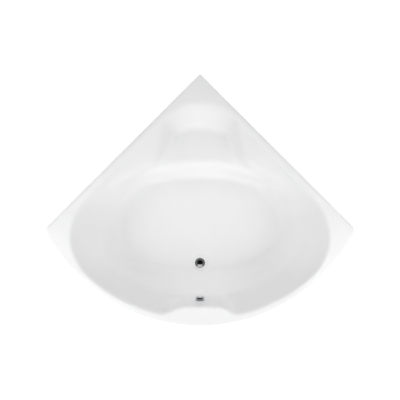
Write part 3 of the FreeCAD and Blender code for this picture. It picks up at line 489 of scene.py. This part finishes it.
@dataclass
class Shell:
    """The moulded acrylic shell: lip, deck and basin."""

    rim_front_radius: float = 1.19974
    rim_end_radius: float = 0.038
    rim_apex_radius: float = 0.012
    rim_slack: float = 0.0001       # keeps the skin inside the CAD lip
    edge_radius: float = 0.009
    edge_steps: int = 5
    deck_back: float = 0.048
    deck_front: float = 0.046
    opening_end_radius: float = 0.380
    opening_apex_radius: float = 0.333
    platform_depth: float = 0.084
    lip_height: float = 0.042
    lip_middle: float = 0.6         # drop of the lip's middle ring, as a share of its height
    thickness: float = 0.005        # of the whole wall
    acrylic: float = 0.0034         # of its acrylic; resin makes up the rest
    grid_pitch: float = 0.006
    softening: float = 0.010        # blur of the creases near the rim
    deep_softening: float = 0.019   # the same further down
    crisp_softening: float = 0.005  # the same at the foot of the front pad
    deep_below_rim: tuple[float, float] = (0.04, 0.14)    # drop over which the deep blur takes over
    crisp_front: tuple[float, float] = (-0.33, -0.40)     # places along Y over which the crisp one does
    centre: Vector = field(default_factory=lambda: Vector((0.0, -0.10)))
    # offsets from the opening's outline of the rings over the rolled edge
    roll_steps: tuple[float, ...] = (0.026, 0.020, 0.015, 0.010, 0.005, 0.0, -0.005, -0.010, -0.015, -0.021)
    rings: int = 84                 # from the rolled edge to the basin's centre
    sharp_angle: float = 80.0
    rim_counts: tuple[int, ...] = (8, 24, 12, 90, 0)
    opening_counts: tuple[int, ...] = (26, 44, 44, 44, 24)

    def build(self) -> tuple[bpy.types.Object, bpy.types.Object]:
        """Build the shell's acrylic skin and the resin behind it.

        Returns:
            The skin and the backing, not yet dressed.
        """
        low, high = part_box("tub_shell")
        self.top = high.z
        apex_y = high.y + self.rim_apex_radius * (ROOT2 - 1)
        rim = Outline(apex_y, 0.0, low.y, self.rim_front_radius, self.rim_end_radius,
                      self.rim_apex_radius).grown(-self.rim_slack)
        opening = Outline(apex_y, self.deck_back, low.y + self.deck_front,
                          self.rim_front_radius - self.deck_front, self.opening_end_radius,
                          self.opening_apex_radius, self.platform_depth)
        self.field = HeightField("tub_shell", self.grid_pitch, self.top)
        self.drain = Drain()
        self.overflow = Overflow()
        self.drain.level(self.field)
        self.overflow.level(self.field)
        self.crisp = self.field.softened(self.crisp_softening)
        self.deep = self.field.softened(self.deep_softening)
        self.field = self.field.softened(self.softening)
        mesh = bmesh.new()
        outer = self.lip_rings(mesh, rim)
        inner = self.basin_rings(mesh, opening)
        self.fill_deck(mesh, outer, inner)
        bmesh.ops.recalc_face_normals(mesh, faces=mesh.faces)
        skin = piece_from(mesh, "moulded_shell")
        backing = bpy.data.objects.new("resin_backing", skin.data.copy())
        bpy.context.scene.collection.objects.link(backing)
        sink(backing, self.acrylic)
        for layer, thickness in ((skin, self.acrylic), (backing, self.thickness - self.acrylic)):
            thicken(layer, thickness)
            self.drain.drill(layer)
            self.overflow.drill(layer)
            smooth_shading(layer, self.sharp_angle)
            log.info("built %s with %d faces", layer.name, len(layer.data.polygons))
        return skin, backing

    def lip_rings(self, mesh: bmesh.types.BMesh, rim: Outline) -> list[bmesh.types.BMVert]:
        """Add the lip and its rounded top edge.

        Args:
            mesh: The mesh to add to.
            rim: The rim's outline.

        Returns:
            The innermost loop, flat on the deck.
        """
        profile = [(0.0, -drop) for drop in
                   (self.lip_height, self.lip_middle * self.lip_height, self.edge_radius)]
        for step in range(1, self.edge_steps + 1):
            angle = math.radians(90 * step / self.edge_steps)
            profile.append((self.edge_radius * (1 - math.cos(angle)),
                            -self.edge_radius * (1 - math.sin(angle))))
        loops = []
        for inset, drop in profile:
            points = rim.grown(-inset).loop(self.rim_counts)
            loops.append([mesh.verts.new((point.x, point.y, self.top + drop)) for point in points])
        bridge(mesh, loops)
        return loops[-1]

    def basin_rings(self, mesh: bmesh.types.BMesh, opening: Outline) -> list[bmesh.types.BMVert]:
        """Add the rolled edge and the basin, ring by ring to its centre.

        Args:
            mesh: The mesh to add to.
            opening: The basin's outline at the deck.

        Returns:
            The outermost loop, flat on the deck.
        """
        plans = [opening.grown(step).loop(self.opening_counts) for step in self.roll_steps]
        last = plans[-1]
        for ring in range(1, self.rings):
            share = ring / self.rings
            plans.append([point.lerp(self.centre, share) for point in last])
        loops = [[mesh.verts.new(self.on_surface(point)) for point in plan] for plan in plans]
        for vertex in loops[0]:
            vertex.co.z = self.top
        bridge(mesh, loops)
        middle = mesh.verts.new(self.on_surface(self.centre))
        inner = loops[-1]
        for index, vertex in enumerate(inner):
            mesh.faces.new((vertex, inner[(index + 1) % len(inner)], middle))
        return loops[0]

    def on_surface(self, point: Vector) -> Vector:
        """Lift a plan point to the softened surface, flat where the fittings clamp on.

        Args:
            point: The plan point.

        Returns:
            The point in space.
        """
        height = self.field.at(point.x, point.y)
        share = smooth_step(*self.deep_below_rim, self.top - height)
        height += (self.deep.at(point.x, point.y) - height) * share
        share = smooth_step(*self.crisp_front, point.y)
        height += (self.crisp.at(point.x, point.y) - height) * share
        place = Vector((point.x, point.y, min(height, self.top)))
        return self.overflow.flatten(self.drain.flatten(place))

    def fill_deck(self, mesh: bmesh.types.BMesh, outer: list[bmesh.types.BMVert],
                  inner: list[bmesh.types.BMVert]) -> None:
        """Fill the flat deck between two loops.

        Args:
            mesh: The mesh to add to.
            outer: The loop inside the rounded rim edge.
            inner: The loop outside the basin's rolled edge.
        """
        edges = []
        for loop in (outer, inner):
            pairs = zip(loop, loop[1:] + loop[:1])
            edges += [mesh.edges.get(pair) or mesh.edges.new(pair) for pair in pairs]
        bmesh.ops.triangle_fill(mesh, edges=edges, use_beauty=True, normal=(0, 0, 1))


@dataclass
class Drain:
    """Where the waste goes through the floor."""

    flat_radius: float = 0.044
    dish_radius: float = 0.066
    hole_radius: float = 0.026
    hidden_radius: float = 0.034    # levelled in the grid, under the flange

    def __post_init__(self) -> None:
        """Read the waste's place from its seal."""
        low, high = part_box("waste_seal_upper")
        self.place = (low + high) / 2
        self.level_z = low.z

    def level(self, heights: HeightField) -> None:
        """Close the hole in the grid of heights."""
        heights.fill_hole(self.place.x, self.place.y, self.hidden_radius, self.level_z)

    def flatten(self, point: Vector) -> Vector:
        """Press the floor into the waste's dish.

        Args:
            point: A point on the shell.

        Returns:
            The point, at the dish's level near the waste.
        """
        away = math.hypot(point.x - self.place.x, point.y - self.place.y)
        share = smooth_step(self.dish_radius, self.flat_radius, away)
        return Vector((point.x, point.y, point.z + (self.level_z - point.z) * share))

    def drill(self, shell: bpy.types.Object) -> None:
        """Cut the waste hole."""
        cut_cylinder(shell, self.place, UP, self.hole_radius)


@dataclass
class Overflow:
    """Where the overflow goes through the steep front wall."""

    flat_radius: float = 0.042
    blend_radius: float = 0.075
    hole_radius: float = 0.026
    recess: float = 0.0005
    reach: float = 0.03             # only points this near the plane belong to the wall

    def __post_init__(self) -> None:
        """Read the wall's slope and the plate's place from the knob's joint."""
        joint = next(joint for joint in FRAME["joints"] if joint["name"] == "knob_turn")
        self.out = Vector(joint["axis"]).normalized()
        self.place = Vector(joint["pos_m"]) - self.out * self.recess

    def level(self, heights: HeightField) -> None:
        """Put the wall's plane over the hole in the grid of heights."""
        for column in range(heights.counts[0]):
            x = heights.low.x + column * heights.pitch
            if abs(x - self.place.x) > self.flat_radius:
                continue
            for row in range(heights.counts[1]):
                y = heights.low.y + row * heights.pitch
                height = self.place.z - (y - self.place.y) * self.out.y / self.out.z
                if abs(height - self.place.z) < self.flat_radius:
                    heights.heights[column, row] = height

    def flatten(self, point: Vector) -> Vector:
        """Bring the wall onto the plate's plane near it.

        Args:
            point: A point on the shell.

        Returns:
            The point, on the plane near the plate.
        """
        offset = point - self.place
        height = offset.dot(self.out)
        away = (offset - self.out * height).length
        if abs(height) > self.reach:
            return point
        return point - self.out * height * smooth_step(self.blend_radius, self.flat_radius, away)

    def drill(self, shell: bpy.types.Object) -> None:
        """Cut the overflow hole."""
        cut_cylinder(shell, self.place, self.out, self.hole_radius)


# ---- Mesh helpers --------------------------------------------------------------------------------
def smooth_step(start: float, end: float, value: float) -> float:
    """Ease from 0 at start to 1 at end.

    Args:
        start: Value that gives 0.
        end: Value that gives 1.
        value: The value to ease.

    Returns:
        A share from 0 to 1.
    """
    share = min(max((value - start) / (end - start), 0.0), 1.0)
    return share * share * (3 - 2 * share)


def bridge(mesh: bmesh.types.BMesh, loops: list[list[bmesh.types.BMVert]]) -> None:
    """Join closed loops of equal length with quads.

    Args:
        mesh: The mesh to add to.
        loops: The loops, in order.
    """
    for first, second in zip(loops, loops[1:]):
        count = len(first)
        for index in range(count):
            following = (index + 1) % count
            mesh.faces.new((first[index], first[following], second[following], second[index]))


def piece_from(mesh: bmesh.types.BMesh, name: str) -> bpy.types.Object:
    """Turn a bmesh into a scene object at the origin.

    Args:
        mesh: The finished bmesh, freed here.
        name: The piece's name.

    Returns:
        The object.
    """
    data = bpy.data.meshes.new(name)
    mesh.to_mesh(data)
    mesh.free()
    piece = bpy.data.objects.new(name, data)
    bpy.context.scene.collection.objects.link(piece)
    return piece


def apply_modifiers(piece: bpy.types.Object) -> None:
    """Bake a piece's modifiers into its mesh.

    Args:
        piece: The piece.
    """
    shaped = piece.evaluated_get(bpy.context.evaluated_depsgraph_get())
    data = bpy.data.meshes.new_from_object(shaped)
    piece.modifiers.clear()
    piece.data = data


def sink(piece: bpy.types.Object, depth: float) -> None:
    """Move a sheet back along its normals.

    Args:
        piece: The sheet.
        depth: How far, in metres.
    """
    push = piece.modifiers.new("sink", "DISPLACE")
    push.strength = -depth
    push.mid_level = 0.0
    apply_modifiers(piece)


def thicken(piece: bpy.types.Object, thickness: float) -> None:
    """Give a sheet its thickness on the side away from its normals.

    Args:
        piece: The sheet.
        thickness: Thickness in metres.
    """
    solid = piece.modifiers.new("thickness", "SOLIDIFY")
    solid.thickness = thickness
    solid.offset = -1
    apply_modifiers(piece)


def cut_cylinder(piece: bpy.types.Object, place: Vector, axis: Vector, radius: float,
                 depth: float = 0.06, segments: int = 64) -> None:
    """Drill a round hole.

    Args:
        piece: The piece to drill.
        place: The middle of the hole.
        axis: The hole's direction.
        radius: The hole's radius.
        depth: Length of the drill, half of it each side of the place.
        segments: Number of the hole's flat sides.
    """
    drill = bmesh.new()
    bmesh.ops.create_cone(drill, cap_ends=True, segments=segments, radius1=radius, radius2=radius,
                          depth=depth)
    turn = UP.rotation_difference(axis).to_matrix()
    for vertex in drill.verts:
        vertex.co = turn @ vertex.co + place
    cutter = piece_from(drill, "drill")
    hole = piece.modifiers.new("hole", "BOOLEAN")
    hole.object = cutter
    hole.operation = "DIFFERENCE"
    hole.solver = "EXACT"
    apply_modifiers(piece)
    bpy.data.objects.remove(cutter)


def smooth_shading(piece: bpy.types.Object, degrees: float) -> None:
    """Shade smoothly, but keep edges that turn more than an angle.

    Args:
        piece: The piece.
        degrees: The largest angle that is smoothed.
    """
    piece.data.shade_smooth()
    piece.data.set_sharp_from_angle(angle=math.radians(degrees))


# ---- Threaded studs ------------------------------------------------------------------------------
class ThreadTree:
    """Geometry Nodes tree of a stud: a core with a ridge at every pitch of its thread."""

    SOCKETS = {"Place": "NodeSocketVector", "Length": "NodeSocketFloat", "Radius": "NodeSocketFloat",
               "Pitch": "NodeSocketFloat", "Depth": "NodeSocketFloat", "Material": "NodeSocketMaterial"}
    SEGMENTS = 20
    RIDGE_SEGMENTS = 4

    def __init__(self) -> None:
        """Build the tree and keep it."""
        self.tree = bpy.data.node_groups.new("threaded_stud", "GeometryNodeTree")
        for name, kind in self.SOCKETS.items():
            self.tree.interface.new_socket(name=name, in_out="INPUT", socket_type=kind)
        self.tree.interface.new_socket(name="Geometry", in_out="OUTPUT", socket_type="NodeSocketGeometry")
        self.helper = NodeTree(self.tree)
        self.inputs = self.helper.add("NodeGroupInput").outputs
        self.finish()

    def calculate(self, operation: str, first: Socket, second: Socket | float) -> Socket:
        """Add a math node.

        Args:
            operation: The node's operation.
            first: The first operand's socket.
            second: The second operand, a socket or a number.

        Returns:
            The result's socket.
        """
        node = self.helper.add("ShaderNodeMath", operation=operation)
        self.helper.join(first, node.inputs[0])
        if isinstance(second, float):
            node.inputs[1].default_value = second
        else:
            self.helper.join(second, node.inputs[1])
        return node.outputs[0]

    def upwards(self, height: Socket) -> Socket:
        """Turn a height into a vector along Z."""
        vector = self.helper.add("ShaderNodeCombineXYZ")
        self.helper.join(height, vector.inputs["Z"])
        return vector.outputs[0]

    def ridges(self, core_radius: Socket) -> Socket:
        """Set one ring on the core at every pitch.

        Args:
            core_radius: Radius of the core.

        Returns:
            The rings, as instances.
        """
        path = self.helper.add("GeometryNodeCurvePrimitiveCircle")
        path.inputs["Resolution"].default_value = self.SEGMENTS
        profile = self.helper.add("GeometryNodeCurvePrimitiveCircle")
        profile.inputs["Resolution"].default_value = self.RIDGE_SEGMENTS
        self.helper.join(core_radius, path.inputs["Radius"])
        self.helper.join(self.inputs["Depth"], profile.inputs["Radius"])
        ring = self.helper.add("GeometryNodeCurveToMesh")
        self.helper.join(path.outputs["Curve"], ring.inputs["Curve"])
        self.helper.join(profile.outputs["Curve"], ring.inputs["Profile Curve"])
        turns = self.calculate("DIVIDE", self.inputs["Length"], self.inputs["Pitch"])
        start = self.calculate("MULTIPLY", self.inputs["Pitch"], 0.5)
        line = self.helper.add("GeometryNodeMeshLine")
        self.helper.join(self.calculate("FLOOR", turns, 0.0), line.inputs["Count"])
        self.helper.join(self.upwards(start), line.inputs["Start Location"])
        self.helper.join(self.upwards(self.inputs["Pitch"]), line.inputs["Offset"])
        rings = self.helper.add("GeometryNodeInstanceOnPoints")
        self.helper.join(line.outputs["Mesh"], rings.inputs["Points"])
        self.helper.join(ring.outputs["Mesh"], rings.inputs["Instance"])
        return rings.outputs["Instances"]

    def core(self, core_radius: Socket) -> Socket:
        """Add the plain core, standing on the origin.

        Args:
            core_radius: Radius of the core.

        Returns:
            The core's mesh.
        """
        rod = self.helper.add("GeometryNodeMeshCylinder")
        rod.inputs["Vertices"].default_value = self.SEGMENTS
        self.helper.join(core_radius, rod.inputs["Radius"])
        self.helper.join(self.inputs["Length"], rod.inputs["Depth"])
        lift = self.helper.add("GeometryNodeTransform")
        self.helper.join(rod.outputs["Mesh"], lift.inputs["Geometry"])
        half = self.calculate("MULTIPLY", self.inputs["Length"], 0.5)
        self.helper.join(self.upwards(half), lift.inputs["Translation"])
        return lift.outputs["Geometry"]

    def finish(self) -> None:
        """Join core and ridges, put them in place and dress them."""
        core_radius = self.calculate("SUBTRACT", self.inputs["Radius"], self.inputs["Depth"])
        both = self.helper.add("GeometryNodeJoinGeometry")
        for geometry in (self.ridges(core_radius), self.core(core_radius)):
            self.helper.join(geometry, both.inputs["Geometry"])
        shift = self.helper.add("GeometryNodeTransform")
        real = self.helper.add("GeometryNodeRealizeInstances")
        dress = self.helper.add("GeometryNodeSetMaterial")
        end = self.helper.add("NodeGroupOutput")
        self.helper.join(self.inputs["Place"], shift.inputs["Translation"])
        self.helper.join(self.inputs["Material"], dress.inputs["Material"])
        for before, after in ((both, shift), (shift, real), (real, dress), (dress, end)):
            self.helper.join(before.outputs["Geometry"], after.inputs["Geometry"])


@dataclass(frozen=True)
class ThreadedStud:
    """One foot's threaded stud, which stands for the plain CAD one."""

    foot: str
    pitch: float = 0.002
    depth: float = 0.0007

    def build(self, thread: ThreadTree, material: bpy.types.Material) -> None:
        """Build the stud as a plain mesh that rides on its foot.

        Args:
            thread: The shared tree.
            material: The stud's material.
        """
        low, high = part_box(f"foot_stud_{self.foot}")
        values = {"Place": ((low.x + high.x) / 2, (low.y + high.y) / 2, low.z), "Length": high.z - low.z,
                  "Radius": (high.x - low.x) / 2, "Pitch": self.pitch, "Depth": self.depth,
                  "Material": material}
        stud = piece_from(bmesh.new(), f"threaded_stud_{self.foot}")
        modifier = stud.modifiers.new("thread", "NODES")
        modifier.node_group = thread.tree
        for name, value in values.items():
            modifier[thread.tree.interface.items_tree[name].identifier] = value
        apply_modifiers(stud)
        stud.data.shade_flat()
        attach(stud, f"foot_{self.foot}")
        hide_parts(f"foot_stud_{self.foot}")
        log.info("built %s with %d faces", stud.name, len(stud.data.polygons))


# ---- Studio --------------------------------------------------------------------------------------
@dataclass(frozen=True)
class Lamp:
    """One soft area lamp, aimed at a point of the tub, with its spread in degrees."""

    name: str
    place: tuple[float, float, float]
    size: float
    power: float
    mirrored: bool = True
    target: tuple[float, float, float] = (0.0, 0.0, 0.3)
    spread: float = 180.0

    def build(self) -> None:
        """Add the lamp; one that isn't mirrored lights the tub but makes no highlight."""
        data = bpy.data.lights.new(self.name, "AREA")
        data.size = self.size
        data.energy = self.power
        data.spread = math.radians(self.spread)
        lamp = bpy.data.objects.new(self.name, data)
        lamp.location = self.place
        lamp.rotation_euler = (Vector(self.target) - lamp.location).to_track_quat("-Z", "Y").to_euler()
        lamp.visible_glossy = self.mirrored
        bpy.context.scene.collection.objects.link(lamp)


@dataclass
class Studio:
    """Floor, light and camera of the photograph."""

    frame_width: float = 2.755
    lens: float = 300.0
    sensor: float = 36.0
    floor_size: float = 60.0
    world_strength: float = 0.18
    dark_inner: float = 20.0        # degrees from straight up: all dark inside this
    dark_outer: float = 34.0        # and all light outside this
    dark_tone: float = 0.02
    floor_glow: float = 0.8
    lamps: tuple[Lamp, ...] = (
        Lamp("left_key", (-1.9, -1.2, 2.0), 1.8, 37.0, mirrored=False),
        Lamp("right_key", (1.9, -1.2, 2.0), 1.8, 37.0, mirrored=False),
        Lamp("corner_fill", (0.0, 2.6, 2.2), 1.8, 26.0, mirrored=False),
        Lamp("top", (0.0, -0.2, 4.5), 3.0, 23.0, mirrored=False),
        Lamp("front_wall_spot", (0.0, 2.6, 1.45), 0.3, 0.13, mirrored=False, target=(0.0, -0.68, 0.45),
             spread=14.0),
        Lamp("softbox", (0.0, -5.0, 6.0), 6.0, 60.0),
    )

    def build(self, rim_height: float) -> None:
        """Set up the floor, lights and camera.

        Args:
            rim_height: Height of the rim that the camera frames.
        """
        self.floor()
        self.world()
        self.lights()
        self.camera(rim_height)

    def floor(self) -> None:
        """Add the pale floor."""
        mesh = bmesh.new()
        half = self.floor_size / 2
        corners = ((-half, -half), (half, -half), (half, half), (-half, half))
        mesh.faces.new([mesh.verts.new((x, y, 0.0)) for x, y in corners])
        floor = piece_from(mesh, "studio_floor")
        material = PALE_FLOOR.material()
        surface = principled(material)
        surface.inputs["Emission Color"].default_value = (1.0, 1.0, 1.0, 1.0)
        surface.inputs["Emission Strength"].default_value = self.floor_glow
        floor.data.materials.append(material)

    def world(self) -> None:
        """Light the scene evenly from all round, but for the dark ceiling that the camera looks down from."""
        world = bpy.data.worlds.new("studio")
        world.use_nodes = True
        background = world.node_tree.nodes["Background"]
        background.inputs["Strength"].default_value = self.world_strength
        helper = NodeTree(world.node_tree)
        direction = helper.add("ShaderNodeTexCoord")
        height = helper.add("ShaderNodeSeparateXYZ")
        ceiling = helper.add("ShaderNodeMapRange", interpolation_type="SMOOTHSTEP")
        ceiling.inputs["From Min"].default_value = math.cos(math.radians(self.dark_outer))
        ceiling.inputs["From Max"].default_value = math.cos(math.radians(self.dark_inner))
        ceiling.inputs["To Min"].default_value = 1.0
        ceiling.inputs["To Max"].default_value = self.dark_tone
        helper.join(direction.outputs["Generated"], height.inputs[0])
        helper.join(height.outputs["Z"], ceiling.inputs["Value"])
        helper.join(ceiling.outputs[0], background.inputs["Color"])
        bpy.context.scene.world = world

    def lights(self) -> None:
        """Add the soft lamps and show the tones as they are."""
        bpy.context.scene.view_settings.view_transform = "Standard"
        for lamp in self.lamps:
            lamp.build()

    def camera(self, rim_height: float) -> None:
        """Add the camera, straight above the middle of the tub.

        Args:
            rim_height: Height of the rim that the camera frames.
        """
        data = bpy.data.cameras.new("camera")
        data.lens = self.lens
        data.sensor_width = self.sensor
        distance = self.frame_width * self.lens / self.sensor
        data.clip_end = 4 * distance
        camera = bpy.data.objects.new("camera", data)
        camera.location = (0.0, 0.0, rim_height + distance)
        bpy.context.scene.collection.objects.link(camera)
        bpy.context.scene.camera = camera


# ---- Building ------------------------------------------------------------------------------------
FEET = ("left", "right", "corner", "front_left", "front_right")


def dress_nodes(finishes: dict[str, bpy.types.Material]) -> None:
    """Give each carried-over CAD node the material of its slot.

    Args:
        finishes: Material for each of the record's slots.
    """
    for part in FRAME["record"]["subparts"]:
        node = FRAME["nodes"][part["node"]]
        node.data.materials.clear()
        node.data.materials.append(finishes[part["material_slot"]])
        log.info("dressed %s with %s", part["node"], part["material_slot"])


def main() -> None:
    """Build every piece in order."""
    logging.basicConfig(level=logging.INFO, format="%(name)s: %(message)s")
    FRAME.update(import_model())
    finishes = {slot: finish.material() for slot, finish in FINISHES.items()}
    dress_nodes(finishes)
    skin, backing = Shell().build()
    for layer, material in ((skin, finishes["shell_acrylic"]), (backing, RESIN.material())):
        layer.data.materials.clear()
        layer.data.materials.append(material)
        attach(layer, "tub")
    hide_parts("tub_shell")
    thread = ThreadTree()
    for foot in FEET:
        ThreadedStud(foot).build(thread, finishes["zinc_steel"])
    Studio().build(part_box("tub_shell")[1].z)


if __name__ == "__main__":
    main()
